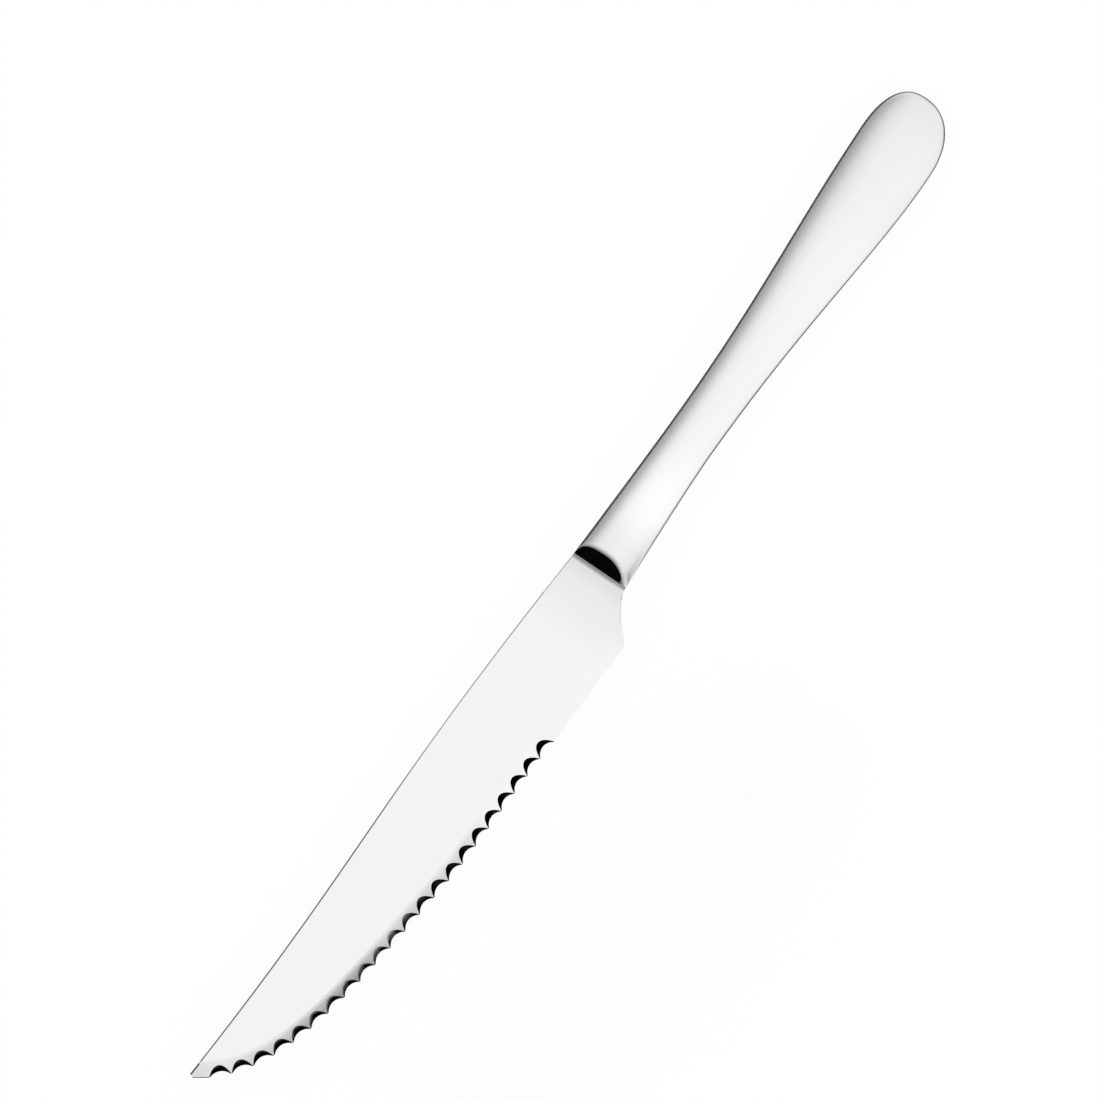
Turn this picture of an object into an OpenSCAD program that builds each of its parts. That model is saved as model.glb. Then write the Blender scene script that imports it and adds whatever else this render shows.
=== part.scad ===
// Steak knife with a serrated blade and a hollow handle made of two pressed halves.
// The knife lies on its side: +X runs to the tip, +Y to the cutting edge and +Z up.
// The origin is under the middle of the knife, on the surface that it lies on.
// The shapes below are drawn in knife space: x = 0 is the foot of the shoulder at the spine,
// y = 0 is the spine there, and z = 0 is the middle of the blade's thickness.

/* [Blade] */
// Length from the foot of the shoulder to the tip
blade_length = 118.35; // [90:0.05:150]
// Width from the spine to the plain edge at the heel
blade_width = 17.55; // [14.4:0.05:24]
// Thickness between the two flat faces
blade_thickness = 1.8; // [1.4:0.1:2.1]
// Distance from the shoulder to the corner of the heel
heel_place = 7.2; // [5:0.1:12]
// Radius that the corner of the heel is rounded with
heel_radius = 1.7; // [0.6:0.1:2.4]
// How far the choil is hollowed below a straight line
choil_hollow = 0.75; // [0.2:0.05:1.2]
// How far the spine's curve is pulled out behind its middle
spine_bow_out = 2.25; // [0:0.05:4]
// How far the spine's curve is pulled in ahead of its middle
spine_bow_in = 1.65; // [0:0.05:3]
// How far the spine's end stands out beyond the line that it starts on
spine_end_out = 0.12; // [0:0.01:0.6]
// Height of the blunt nose
nose_height = 0.7; // [0.4:0.05:1.2]

/* [Cutting edge] */
// Length of the curved stretch of the edge, from the tip back
belly_length = 59.3; // [45:0.1:70]
// Thickness left at the very edge
edge_thickness = 0.2; // [0.15:0.01:0.3]
// Width of the bevel ground on each face
bevel_width = 3; // [2.2:0.1:4]
// Distance from the shoulder to the first scallop
serration_start = 29.6; // [20:0.1:40]
// Number of scallops
scallop_count = 22; // [14:1:26]
// Depth of each scallop below the line of the teeth, as seen square to the blade
scallop_depth = 0.85; // [0.5:0.05:1.1]
// Width of the blunt land left at the point of each tooth
tooth_land = 0.3; // [0.1:0.05:0.8]
// How far the teeth stand back from the line of the plain edge
tooth_drop = 0.25; // [0:0.05:0.4]
// Slant of the grinding wheel away from square to the blade, in degrees
grind_angle = 51; // [40:1:60]
// Length of edge left plain at the nose
plain_nose = 2.95; // [2:0.05:6]

/* [Handle] */
// Length from the foot of the shoulder to the butt
handle_length = 105.85; // [88:0.05:130]
// Thickness at the shoulder and at the swelling
handle_thickness = 8; // [6.6:0.1:10]
// Thickness at the neck
neck_thickness = 7.3; // [6:0.1:7.9]
// Width at the shoulder
front_width = 11.5; // [9.8:0.05:14]
// Width at the neck, the narrowest place
neck_width = 9.5; // [8.4:0.05:11.3]
// Width at the widest place, near the butt
bulge_width = 15.55; // [13:0.05:19]
// Distance from the shoulder to the neck
neck_place = 29.6; // [24:0.1:40]
// Length of the rounded butt behind the widest place
butt_length = 11.4; // [9:0.1:16]
// Half the height of the upright band along the handle's sides
rim_height = 1.2; // [1.15:0.01:1.5]
// How far the centreline leans to the spine between the shoulder and the neck
front_lean = 0.57; // [0:0.01:1]
// How far the centreline leans to the spine along the whole handle
slant = 1.14; // [0:0.01:1.6]
// How far the butt's end leans to the spine beyond that
butt_lean = 1.12; // [0:0.01:2]
// How far the crown lies to the spine's side of the centreline at the shoulder
crown_shift = 1; // [0:0.05:1.5]

/* [Shoulder and mouth] */
// Slope of the polished shoulder above the blade's face, in degrees
shoulder_angle = 40; // [36:1:50]
// Skew of the shoulder's foot across the blade, in degrees
shoulder_skew = 2.2; // [0:0.1:6]
// Leg of the solder fillet at the foot of the shoulder
solder_leg = 0.42; // [0.25:0.01:0.5]
// Thickness of the blade's root and tang
root_thickness = 1.6; // [1:0.05:1.7]
// Length of the root that fills the handle's mouth
root_depth = 4; // [3:0.1:6]

/* [Inside the handle] */
// Thickness of the pressed sheet
wall = 0.9; // [0.6:0.05:1.1]
// Length of the tang behind the root
tang_length = 46; // [30:0.5:55]
// Width of the tang at the root
tang_width = 6; // [4.4:0.1:7]
// Width of the tang at its end
tang_end_width = 4.2; // [3:0.1:5]
// Half the height of the weld bead at the surface
weld_height = 0.35; // [0.2:0.01:0.5]
// Depth of the weld groove
weld_depth = 0.5; // [0.3:0.01:0.6]
// Clearance round the root, the tang and the filler
fit_gap = 0.04; // [0.02:0.01:0.08]

/* [Hidden] */
$fn = 48;

// Places of the spine's two control points along the blade
spine_control_shares = [0.5, 0.58];
// Places of the belly's two control points along the curved stretch, and their heights below the teeth
belly_control_shares = [0.493, 0.842];
belly_height_shares = [0.856, 0.842];
// Where the spine ends, as a part of the nose's height back from the tip
nose_share = 0.5;
// Places of a half section's points between the crown and the side, from the side in
section_shares = [1, 0.965, 0.9, 0.79, 0.64, 0.45, 0.23];
// The part of the rim's height that the weld may reach at the butt
weld_rim_share = 0.8;
// How much farther apart the scallops are at the tip than at the first one
pitch_growth_share = 0.08;
// How far the solder's surface is drawn into the corner
solder_sag_share = 0.25;
// The last station of the rounded butt, as an angle, which leaves a small flat at the very end
butt_end_angle = 86.4;

// Powers that shape the handle's curves
flare_power = 1.36;
swell_power = 1.25;
lean_power = 13;
butt_power = 2.3;
butt_crown_power = 2.6;
section_power = 2.5;
side_power = 0.4;
// At the shoulder the spine's side is fuller
full_section_power = 3.4;
full_side_power = 0.3;
// The edge's side runs out softly into the blade there
soft_section_power = 2;
soft_side_power = 1.1;

spine_steps = 20;
belly_steps = 40;
choil_steps = 6;
heel_steps = 5;
body_steps = 20;
butt_steps = 9;
front_rounds = 12;

half_blade = blade_thickness / 2;
half_root = root_thickness / 2;
half_edge = edge_thickness / 2;
bulge_place = handle_length - butt_length;
overrun = blade_thickness;
whole_length = blade_length + handle_length;
tooth_line = blade_width - tooth_drop;
section_last = len(section_shares) - 1;
bevel_slope = (half_blade - half_edge) / bevel_width;

// A point on a cubic curve with the four control points p
function curve_at(p, t) =
    p[0] * pow(1 - t, 3) + p[1] * 3 * t * pow(1 - t, 2) + p[2] * 3 * t * t * (1 - t) + p[3] * pow(t, 3);

// A step from 0 to 1 that starts and ends level
function smooth(t) = let (u = max(0, min(1, t))) u * u * (3 - 2 * u);

// How much of the shoulder's extra size is left at a distance q behind the shoulder's foot
function flare(q) = pow(max(0, 1 - q / neck_place), flare_power);

// How much of the swelling's extra size is reached there
function swell(q) = smooth(pow(max(0, (q - neck_place) / (bulge_place - neck_place)), swell_power));

// Width, centreline and half thickness of the handle there
function width_at(q) =
    neck_width + (front_width - neck_width) * flare(q) + (bulge_width - neck_width) * swell(q);
function middle_at(q) =
    front_width / 2 - front_lean * (1 - flare(q)) - slant * q / handle_length
    - butt_lean * pow(q / handle_length, lean_power);
function half_thickness_at(q) =
    let (share = max(1 - smooth(q / neck_place), swell(q)))
    (neck_thickness + (handle_thickness - neck_thickness) * share) / 2;

// How far a rounded end has closed in at the share s of its length
function closure(s, power) = pow(1 - pow(s, power), 1 / power);

// Rise of the section above its rim at the share u of the way out to one side
function rise(u, power, side) =
    pow((1 - pow(u, power)) / (1 - pow(section_shares[section_last], power)), side);

// Height of the weld groove's lip, which shrinks with the rim at the butt
function lip_at(s) = min(weld_height, weld_rim_share * rim_height * closure(s, butt_crown_power));

// A point of the handle's skin, or of a skin that lies deeper by inset.
// q is the distance behind the shoulder, s the share of the rounded end, side is -1 on the
// spine's side and 1 on the edge's side, and u is the share of the way out from the crown.
function skin_y(q, s, inset, side, u) =
    let (half = (width_at(q) / 2 - inset) * closure(s, butt_power))
    let (crown = middle_at(q) - crown_shift * flare(q))
    let (reach = half + side * (middle_at(q) - crown))
    crown + side * reach * u;
function skin_z(q, s, inset, side, u) =
    let (near = pow(flare(q), 2))
    let (front_power = side > 0 ? soft_section_power : full_section_power)
    let (front_steep = side > 0 ? soft_side_power : full_side_power)
    let (power = section_power + (front_power - section_power) * near)
    let (steep = side_power + (front_steep - side_power) * near)
    let (half = half_thickness_at(q))
    let (height = rim_height + (half - rim_height) * rise(u, power, steep))
    height * (half - inset) / half * closure(s, butt_crown_power);

// Distance behind the foot at which a plane parallel to the shoulder passes through y and z
function plane_q(y, z, back) = y * tan(shoulder_skew) + (z - half_blade) / tan(shoulder_angle) + back;
function wall_back(depth) = depth * norm([1, tan(shoulder_skew), 1 / tan(shoulder_angle)]);

// The point of the front ring, where a skin meets its plane, found in a few rounds
function front_q(inset, side, u, low, q, rounds) =
    rounds == 0 ? q :
    let (z = is_undef(low) ? skin_z(q, 0, inset, side, u) : low)
    front_q(inset, side, u, low, plane_q(skin_y(q, 0, inset, side, u), z, wall_back(inset)), rounds - 1);

// Stations of the rings: distance behind the foot and share of the rounded end
crest_q = plane_q(front_width, handle_thickness / 2, wall_back(wall));
body_stations = [for (k = [0 : body_steps]) [crest_q + (bulge_place - crest_q) * k / body_steps, 0]];
butt_stations = [for (k = [1 : butt_steps]) [bulge_place, sin(butt_end_angle * k / butt_steps)]];
stations = concat([[undef, 0]], body_stations, butt_stations);
last = len(stations) - 1;

// A point of the ring r, with its height given by low or, where low is undefined, by the section
function ring_point(r, inset, side, u, low) =
    let (s = stations[r][1])
    let (q = r == 0
        ? front_q(inset, side, u, low, crest_q, front_rounds)
        : stations[r][0] + (butt_length - inset) * s)
    [-q, skin_y(q, s, inset, side, u), is_undef(low) ? skin_z(q, s, inset, side, u) : low];

// One half ring from the spine's side over the crown to the edge's side
function half_ring(r, inset, low) = concat(
    [ring_point(r, inset, -1, 1, low)],
    [for (i = [0 : section_last]) ring_point(r, inset, -1, section_shares[i], undef)],
    [for (i = [section_last : -1 : 0]) ring_point(r, inset, 1, section_shares[i], undef)],
    [ring_point(r, inset, 1, 1, low)]);
ring_size = 2 * len(section_shares) + 2;

// The two triangles of a strip between the edge from a to b on one ring and on the next
function strip(r, size, a, b) =
    let (here = r * size, next = (r + 1) * size)
    [[here + a, here + b, next + b], [here + a, next + b, next + a]];
function strips(r, size) = flatten([for (i = [0 : size - 1]) strip(r, size, i, (i + 1) % size)]);
function flatten(lists) = [for (list = lists) for (item = list) item];
function numbers(from, to) = [for (i = [from : (to < from ? -1 : 1) : to]) i];

// Extent of the whole knife, for the origin
handle_sides = flatten([for (r = [1 : last]) [for (side = [-1, 1]) ring_point(r, 0, side, 1, 0)[1]]]);
low_y = min(min(handle_sides), min([for (p = spine_points()) p[1]]));
high_y = max(max(handle_sides), blade_width);
low_z = -max(handle_thickness, neck_thickness) / 2;
butt_reach = -ring_point(last, 0, 1, 1, 0)[0];

// Moves knife space to the part's own frame
module in_place() {
    translate([(butt_reach - blade_length) / 2, -(low_y + high_y) / 2, -low_z])
        children();
}

// Outline of the blade
function spine_points() =
    let (p = [
        [0, 0],
        [blade_length * spine_control_shares[0], -spine_bow_out],
        [blade_length * spine_control_shares[1], spine_bow_in],
        [blade_length - nose_height * nose_share, -spine_end_out]])
    [for (k = [0 : spine_steps]) curve_at(p, k / spine_steps)];
belly_start = blade_length - belly_length;
belly_curve = [
    [belly_start, tooth_line],
    [belly_start + belly_length * belly_control_shares[0], tooth_line * belly_height_shares[0]],
    [belly_start + belly_length * belly_control_shares[1], tooth_line * belly_height_shares[1]],
    [blade_length, nose_height]];
belly_points = [for (k = [0 : belly_steps]) curve_at(belly_curve, k / belly_steps)];

// Points of the serrated stretch, and the distance along it to each
serrated_points = concat([[serration_start, tooth_line]], belly_points);
function step_length(i) =
    i + 1 < len(serrated_points) ? norm(serrated_points[i + 1] - serrated_points[i]) : 0;
serrated_lengths = [
    for (i = 0, sum = 0; i < len(serrated_points); sum = sum + step_length(i), i = i + 1) sum];
serrated_length = serrated_lengths[len(serrated_lengths) - 1];

// Where the scallop k starts along the serrated stretch
function scallop_place(k) =
    let (share = k / scallop_count)
    (serrated_length - plain_nose) * share * (1 + pitch_growth_share * (share - 1) / 2);

// Between the plain edge and the line of the teeth, inside the first scallop
drop_points = [
    [serration_start, blade_width],
    [serration_start + scallop_place(0.5), tooth_line]];

// The choil is an arc from the handle's side to the heel, given by its chord and its hollow
choil_foot = [0, front_width];
heel_corner = [heel_place, blade_width];
choil_chord = heel_corner - choil_foot;
choil_side = [choil_chord[1], -choil_chord[0]] / norm(choil_chord);
function choil_at(t) = choil_foot + choil_chord * t + choil_side * choil_hollow * 4 * t * (1 - t);
choil_end_share = 1 - heel_radius / norm(choil_chord);
choil_points = [for (k = [0 : choil_steps]) choil_at(choil_end_share * k / choil_steps)];
function heel_at(t) =
    choil_at(choil_end_share) * pow(1 - t, 2) + heel_corner * 2 * t * (1 - t)
    + (heel_corner + [heel_radius, 0]) * t * t;
heel_points = [for (k = [1 : heel_steps]) heel_at(k / heel_steps)];

function root_side(side) = [-root_depth, skin_y(root_depth, 0, 0, side, 1)];
blade_outline = concat(
    [root_side(-1)], spine_points(),
    [for (k = [belly_steps : -1 : 0]) belly_points[k]],
    [drop_points[1], drop_points[0]],
    [for (k = [heel_steps - 1 : -1 : 0]) heel_points[k]],
    [for (k = [choil_steps : -1 : 0]) choil_points[k]],
    [root_side(1)]);

// Everything ahead of a line that is parallel to the shoulder's foot
module ahead_of(place) {
    translate([place, 0])
        rotate(shoulder_skew)
            translate([0, -whole_length])
                square([whole_length, 2 * whole_length]);
}

// Plan of the tang, wider all round by grow. It starts inside the root.
module tang_plan(grow) {
    end_q = root_depth + tang_length;
    root_middle = middle_at(root_depth);
    end_middle = middle_at(end_q);
    polygon([
        [-root_depth / 2, root_middle - tang_width / 2 - grow],
        [-root_depth / 2, root_middle + tang_width / 2 + grow],
        [-end_q, end_middle + tang_end_width / 2 + grow],
        [-end_q, end_middle - tang_end_width / 2 - grow]]);
    translate([-end_q, end_middle])
        circle(d = tang_end_width + 2 * grow);
}

// The wedge that the bevel takes off one face, swept along the edge from the shoulder to beyond the tip
module bevel_cutter() {
    beyond = bevel_width + overrun;
    tip = belly_points[belly_steps];
    tip_way = tip - belly_points[belly_steps - 1];
    after_tip = tip + tip_way / norm(tip_way) * bevel_width;
    path = concat([[0, blade_width]], drop_points, belly_points, [after_tip]);
    count = len(path);
    points = flatten([for (i = [0 : count - 1])
        let (from = path[max(0, i - 1)], to = path[min(count - 1, i + 1)])
        let (along = (to - from) / norm(to - from))
        let (inward = [along[1], -along[0]])
        [
            concat(path[i] - inward * overrun, half_edge - overrun * bevel_slope),
            concat(path[i] + inward * beyond, half_edge + beyond * bevel_slope),
            concat(path[i] + inward * beyond, half_blade + 2 * overrun),
            concat(path[i] - inward * overrun, half_blade + 2 * overrun)
        ]]);
    faces = concat(
        [numbers(3, 0)],
        flatten([for (i = [0 : count - 2]) strips(i, 4)]),
        [[for (k = [0 : 3]) (count - 1) * 4 + k]]);
    polyhedron(points, faces);
}

// Place and direction at a distance along the serrated stretch
function along_edge(distance, i = 0) =
    i < len(serrated_points) - 2 && serrated_lengths[i + 1] < distance ? along_edge(distance, i + 1) :
    let (from = serrated_points[i], to = serrated_points[i + 1])
    let (way = (to - from) / norm(to - from))
    [from + way * (distance - serrated_lengths[i]), atan2(way[1], way[0])];

// The path of a round grinding wheel that slants across the edge and cuts one scallop.
// Its radius gives the scallop's width and depth at the far side of the edge.
module scallop_cutter(chord) {
    depth = scallop_depth * (1 + bevel_slope * tan(grind_angle));
    sag = depth * cos(grind_angle);
    radius = (chord * chord / 4 + sag * sag) / (2 * sag);
    translate([0, radius / cos(grind_angle) - depth, -half_edge])
        rotate([grind_angle, 0, 0])
            cylinder(h = 2 * (blade_thickness + overrun) / cos(grind_angle), r = radius, center = true);
}

module blade() {
    color("gainsboro") in_place() difference() {
        union() {
            linear_extrude(blade_thickness, center = true)
                intersection() {
                    polygon(blade_outline);
                    ahead_of(solder_leg);
                }
            linear_extrude(root_thickness, center = true) {
                difference() {
                    polygon(blade_outline);
                    ahead_of(2 * solder_leg);
                }
                tang_plan(0);
            }
        }
        bevel_cutter();
        mirror([0, 0, 1])
            bevel_cutter();
        for (k = [0 : scallop_count - 1]) {
            place = along_edge(scallop_place(k + 0.5));
            translate(place[0])
                rotate(place[1])
                    scallop_cutter(scallop_place(k + 1) - scallop_place(k) - tooth_land);
        }
    }
}

// The space between the two halves that is left for the root and the tang. It is open to the front
// and to both sides, where the root lies flush with the handle.
module root_space() {
    linear_extrude(root_thickness + 2 * fit_gap, center = true) {
        translate([-root_depth - fit_gap, -whole_length])
            square([whole_length, 2 * whole_length]);
        tang_plan(fit_gap);
    }
}

// One half of the handle, above the parting plane. Each ring runs from the groove on the spine's side
// over the outer skin to the other groove, and back over the inner skin.
module half_shell() {
    size = 2 * ring_size + 2;
    edge_groove = ring_size + 1;
    points = flatten([for (r = [0 : last]) concat(
        [ring_point(r, weld_depth, -1, 1, 0)],
        half_ring(r, 0, lip_at(stations[r][1])),
        [ring_point(r, weld_depth, 1, 1, 0)],
        [for (i = [ring_size - 1 : -1 : 0]) half_ring(r, wall, 0)[i]])]);
    butt = last * size;
    faces = concat(
        [numbers(edge_groove, 0)],
        [[0, edge_groove, edge_groove + 1, size - 1]],
        [numbers(size - 1, edge_groove + 1)],
        flatten([for (r = [0 : last - 1]) strips(r, size)]),
        [[for (i = [1 : ring_size]) butt + i]],
        [[butt, butt + 1, butt + ring_size, butt + edge_groove]],
        [[butt, butt + edge_groove, butt + edge_groove + 1, butt + size - 1]],
        [[for (i = [edge_groove + 1 : size - 1]) butt + i]]);
    difference() {
        polyhedron(points, faces);
        root_space();
    }
}

module handle_shell_upper() {
    color("silver") in_place()
        half_shell();
}

module handle_shell_lower() {
    color("lightgray") in_place()
        mirror([0, 0, 1])
            half_shell();
}

// The weld fills the groove along the spine's side, round the butt and back along the edge's side
module seam_weld() {
    function groove(r, side) =
        let (upper = ring_point(r, 0, side, 1, lip_at(stations[r][1])))
        [upper, ring_point(r, weld_depth, side, 1, 0), [upper[0], upper[1], -upper[2]]];
    points = concat(
        flatten([for (r = [0 : last]) groove(r, -1)]),
        flatten([for (r = [last : -1 : 0]) groove(r, 1)]));
    count = 2 * (last + 1);
    color("darkgray") in_place() difference() {
        polyhedron(points, weld_faces(count));
        root_space();
    }
}

// The weld's diagonals follow those of the grooves in the two halves
function weld_faces(count) = concat(
    [[0, 1, 2]],
    flatten([for (r = [0 : count - 2]) weld_strip(r, r < count / 2)]),
    [[count * 3 - 1, count * 3 - 2, count * 3 - 3]]);
function weld_strip(r, outbound) =
    let (a = 3 * r, b = 3 * (r + 1))
    concat(
        outbound ? [[a, b, a + 1], [b, b + 1, a + 1]] : [[a, b, b + 1], [a, b + 1, a + 1]],
        outbound
            ? [[a + 1, b + 2, a + 2], [a + 1, b + 1, b + 2]]
            : [[a + 1, b + 1, a + 2], [b + 1, b + 2, a + 2]],
        [[a, a + 2, b], [a + 2, b + 2, b]]);

// The cement fills the hollow round the root and the tang
module handle_filler() {
    size = 2 * ring_size - 2;
    inset = wall + fit_gap;
    points = flatten([for (r = [0 : last])
        let (half = half_ring(r, inset, 0))
        concat(half, [for (i = [ring_size - 2 : -1 : 1]) [half[i][0], half[i][1], -half[i][2]]])]);
    faces = concat(
        [numbers(ring_size - 1, 0)],
        [concat([0], numbers(size - 1, ring_size - 1))],
        flatten([for (r = [0 : last - 1]) strips(r, size)]),
        [[for (i = [0 : size - 1]) last * size + i]]);
    color("burlywood") in_place() difference() {
        polyhedron(points, faces);
        root_space();
    }
}

// One solder fillet lies in the corner between the blade's face and the shoulder
module solder_fillet() {
    run = solder_leg / tan(shoulder_angle);
    sag = solder_leg * solder_sag_share;
    foot = (half_blade - half_root) / tan(shoulder_angle);
    intersection() {
        rotate([0, 0, shoulder_skew])
            translate([0, whole_length / 2, 0])
                rotate([90, 0, 0])
                    linear_extrude(whole_length)
                        polygon([
                            [foot, half_root],
                            [solder_leg, half_root],
                            [solder_leg, half_blade],
                            [sag, half_blade + sag],
                            [-run, half_blade + solder_leg],
                            [0, half_blade]]);
        linear_extrude(handle_thickness, center = true)
            polygon(blade_outline);
    }
}

module blade_solder() {
    color("slategray") in_place() {
        solder_fillet();
        mirror([0, 0, 1])
            solder_fillet();
    }
}

blade();
handle_shell_upper();
handle_shell_lower();
seam_weld();
handle_filler();
blade_solder();
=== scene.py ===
# %% [markdown]
# # A steak knife with a hollow handle
#
# The knife lies on its side on a white table and is seen from straight above. Its forms are
# simple, so the likeness rests on three things: clean outlines, the difference between satin and
# polished steel, and what the steel has around it to reflect.
#
# All lengths are in metres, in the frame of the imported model: +X runs to the tip, +Y to the
# cutting edge and +Z up, with z = 0 on the table.

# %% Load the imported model
import math

import bmesh
import bpy
from mathutils import Matrix, Vector


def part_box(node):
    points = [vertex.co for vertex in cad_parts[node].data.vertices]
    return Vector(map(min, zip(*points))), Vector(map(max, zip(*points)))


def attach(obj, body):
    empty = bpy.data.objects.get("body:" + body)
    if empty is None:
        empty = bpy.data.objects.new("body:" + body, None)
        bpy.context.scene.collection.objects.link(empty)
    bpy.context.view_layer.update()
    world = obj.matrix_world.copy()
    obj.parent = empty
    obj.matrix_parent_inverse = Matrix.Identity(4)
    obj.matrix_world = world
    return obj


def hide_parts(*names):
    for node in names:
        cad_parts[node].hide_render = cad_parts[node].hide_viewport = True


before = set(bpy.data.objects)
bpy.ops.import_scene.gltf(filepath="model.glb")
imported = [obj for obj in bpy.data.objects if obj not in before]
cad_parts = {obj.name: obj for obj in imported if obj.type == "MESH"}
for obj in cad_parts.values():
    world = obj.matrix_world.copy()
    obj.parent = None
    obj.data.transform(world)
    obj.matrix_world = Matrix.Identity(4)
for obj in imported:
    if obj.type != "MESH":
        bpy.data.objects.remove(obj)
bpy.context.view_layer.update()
MM = 0.001
print("nodes:", sorted(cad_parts))

# %% [markdown]
# ## Where the knife is
#
# Everything is placed from one point, the foot of the shoulder at the spine, where the handle
# ends and the blade begins. It is worked out from the blade's own box, so the dressed pieces
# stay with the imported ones. Distances along the handle are called q and are counted backwards
# from that point. On the blade they are counted forwards from it.

# %% The foot of the shoulder and the middle plane
BLADE_LENGTH = 118.35 * MM
BLADE_WIDTH = 17.55 * MM

blade_low, blade_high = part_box("blade")
FOOT_X = blade_high[0] - BLADE_LENGTH
SPINE_Y = blade_high[1] - BLADE_WIDTH
MID_Z = (blade_low[2] + blade_high[2]) / 2
print("foot of the shoulder at x %.2f, y %.2f mm" % (FOOT_X / MM, SPINE_Y / MM))

# %% [markdown]
# ## Camera
#
# The photograph looks straight down on the knife, which lies across the picture from the upper
# right to the lower left. A long lens from far away keeps the outline true, without the widening
# that a short lens gives. The picture covers 201.5 mm of the table. The knife's slant in it comes
# from the way to the butt, so much to the right and so much up.

# %% A long lens straight above
UP = Vector((0, 0, 1))
PICTURE = 201.5 * MM
BUTT_WAY = Vector((0.59239, 0.80565))
PICTURE_MIDDLE = Vector((FOOT_X + 1.68 * MM, SPINE_Y - 3.85 * MM))
CAMERA_HEIGHT = 1.6
CLIP_END = 20
SENSOR = 36

camera_data = bpy.data.cameras.new("camera")
camera_data.sensor_width = SENSOR
camera_data.lens = SENSOR * (CAMERA_HEIGHT - MID_Z) / PICTURE
camera_data.clip_end = CLIP_END
camera = bpy.data.objects.new("camera", camera_data)
bpy.context.collection.objects.link(camera)

picture_right = Vector((-BUTT_WAY.x, BUTT_WAY.y, 0)).normalized()
picture_up = Vector((-BUTT_WAY.y, -BUTT_WAY.x, 0)).normalized()
turn = Matrix((picture_right, picture_up, UP)).transposed()
camera_place = (PICTURE_MIDDLE.x, PICTURE_MIDDLE.y, CAMERA_HEIGHT)
camera.matrix_world = Matrix.Translation(camera_place) @ turn.to_4x4()
bpy.context.scene.camera = camera
print("lens %.0f mm" % camera_data.lens)

# %% [markdown]
# ## Curves of the handle
#
# A hollow handle is two pressed halves. Looked at from above, each side of the outline is a
# gentle curve: it narrows from the shoulder to the neck, swells towards the butt and closes in a
# rounded end. A few small functions give the width, the centreline and the thickness at any
# distance q, and one more rounds the end. Functions of this kind are easier to fit to a
# photograph than points placed by eye, because every number in them has a meaning. The sizes are
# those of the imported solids, so the smooth skin lies where their flat facets are.

# %% Sizes of the handle
HANDLE_LENGTH = 105.85 * MM
FRONT_WIDTH = 11.5 * MM
NECK_WIDTH = 9.5 * MM
BULGE_WIDTH = 15.546 * MM
NECK_PLACE = 29.6 * MM
BUTT_LENGTH = 11.4 * MM
BULGE_PLACE = HANDLE_LENGTH - BUTT_LENGTH
HALF_THICK = 4.0 * MM
HALF_NECK = 3.65 * MM
print("widest place %.2f mm behind the shoulder's foot" % (BULGE_PLACE / MM))

# %% [markdown]
# The width is the neck's, with a flare added in front and a swell behind. Their powers say how
# they bend. The centreline leans a little to the spine's side on its way to the butt.

# %% Width, centreline and thickness at a distance behind the shoulder
FLARE_CURVE = 1.36
SWELL_CURVE = 1.25
FRONT_LEAN = 0.57 * MM
SLANT = 1.14 * MM
BUTT_LEAN = 1.12 * MM
BUTT_LEAN_CURVE = 13

def smooth(share):
    """A share between 0 and 1, with a soft start and a soft end."""
    u = max(0.0, min(1.0, share))
    return u * u * (3 - 2 * u)

def flare(q):
    """1 at the shoulder's foot, 0 from the neck on."""
    return max(0.0, 1 - q / NECK_PLACE) ** FLARE_CURVE

def swell(q):
    """0 up to the neck, 1 from the widest place on."""
    past_neck = max(0.0, (q - NECK_PLACE) / (BULGE_PLACE - NECK_PLACE))
    return smooth(past_neck ** SWELL_CURVE)

def width_at(q):
    wider_in_front = (FRONT_WIDTH - NECK_WIDTH) * flare(q)
    wider_behind = (BULGE_WIDTH - NECK_WIDTH) * swell(q)
    return NECK_WIDTH + wider_in_front + wider_behind

def middle_at(q):
    front_lean = FRONT_LEAN * (1 - flare(q))
    slant = SLANT * q / HANDLE_LENGTH
    butt_lean = BUTT_LEAN * max(0.0, q / HANDLE_LENGTH) ** BUTT_LEAN_CURVE
    return FRONT_WIDTH / 2 - front_lean - slant - butt_lean

def half_thickness_at(q):
    return HALF_NECK + (HALF_THICK - HALF_NECK) * max(1 - smooth(q / NECK_PLACE), swell(q))

def closure(end_share, power):
    """What is left of a size on the way round the butt: 1 at the widest place, 0 at the end."""
    return max(0.0, 1 - end_share ** power) ** (1 / power)

print("width at the neck %.2f mm" % (width_at(NECK_PLACE) / MM))

# %% [markdown]
# The section of the handle is a crowned oval that stands on a low upright band, where the two
# halves meet. Near the shoulder the crown leans to the spine's side, which is fuller there, and
# the edge's side runs out softly into the blade. So the section has one pair of numbers for the
# body of the handle and one for each side at the shoulder, and goes over from one to the other.

# %% A point of the handle's skin
RIM = 1.2 * MM
CROWN_SHIFT = 1.0 * MM
OUTLINE_ROUND = 2.3
PROFILE_ROUND = 2.6
SPINE_SIDE = -1
EDGE_SIDE = 1
BODY_POWER = 2.5
BODY_STEEP = 0.4
FRONT_POWER = {SPINE_SIDE: 3.4, EDGE_SIDE: 2.0}
FRONT_STEEP = {SPINE_SIDE: 0.3, EDGE_SIDE: 1.1}

def skin_y(q, end_share, side, u):
    """The place across the handle, at the share u of the way from the crown out to the rim."""
    half = width_at(q) / 2 * closure(end_share, OUTLINE_ROUND)
    crown = middle_at(q) - CROWN_SHIFT * flare(q)
    return crown + side * (half + side * (middle_at(q) - crown)) * u

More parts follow.
